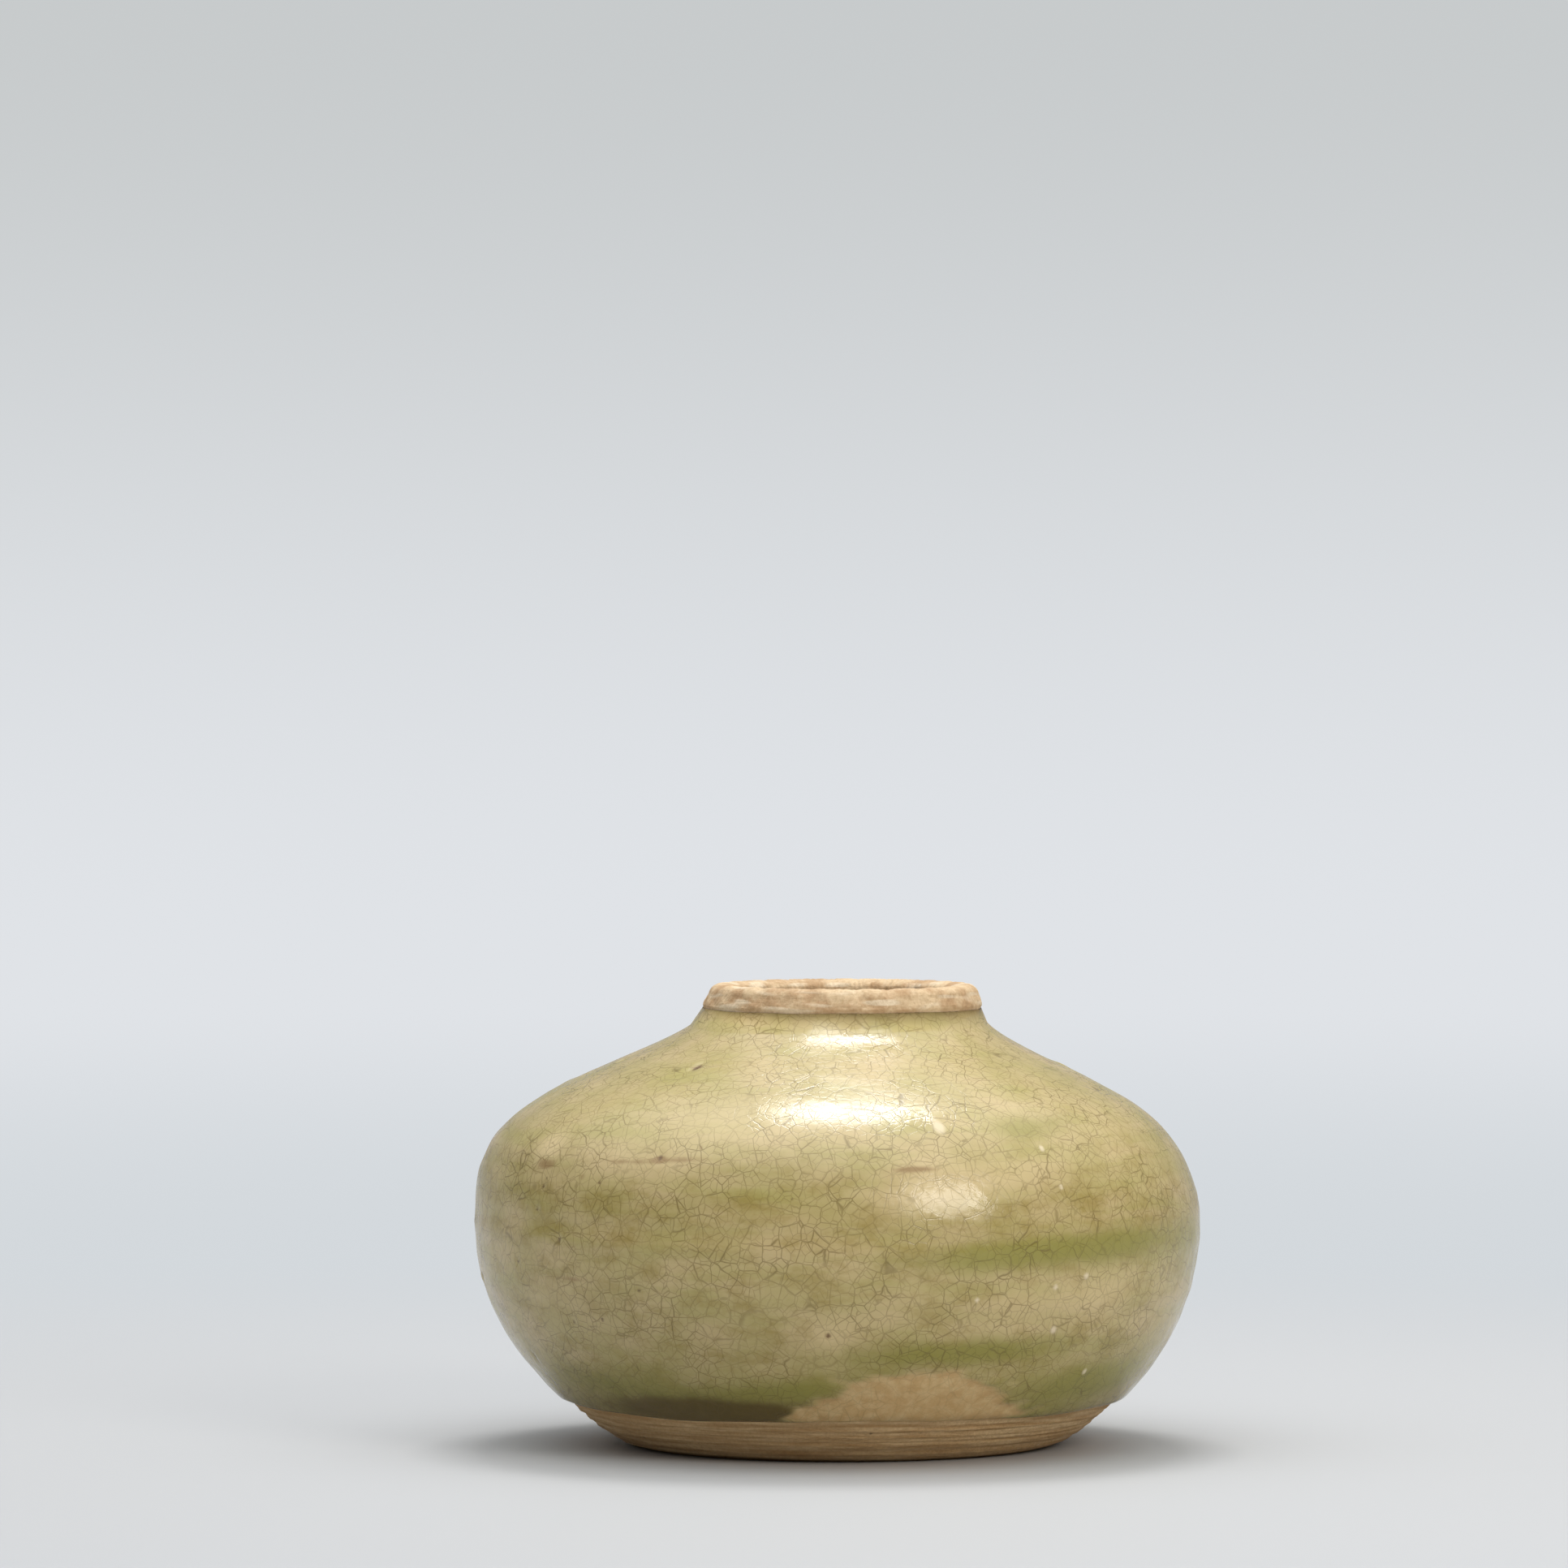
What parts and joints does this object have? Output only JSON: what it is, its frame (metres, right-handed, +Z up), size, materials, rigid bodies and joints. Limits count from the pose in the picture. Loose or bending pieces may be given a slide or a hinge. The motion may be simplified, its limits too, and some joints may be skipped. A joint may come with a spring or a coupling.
{
  "type": "small celadon jar",
  "caption": "Small squat round jar of wheel-thrown stoneware with a wide shoulder, narrow unglazed lip, trimmed bare foot and crackled celadon glaze, for holding oil or powder.",
  "frame": {"origin": "on the surface that the jar stands on, under the middle of the belly", "axes": "+Z up through the mouth; +X to the right and -Y towards the viewer of the picture"},
  "size_m": [0.0802, 0.0798, 0.0509],
  "materials": {
    "bare_clay": "bare fired stoneware, sandy and matt",
    "celadon_glaze": "glossy yellow-green celadon with a fine crackle",
    "lining_glaze": "thin glossy celadon"
  },
  "bodies": {
    "root": {"clay_body": "bare_clay", "outer_glaze": "celadon_glaze", "inner_glaze": "lining_glaze"}
  },
  "joints": []
}
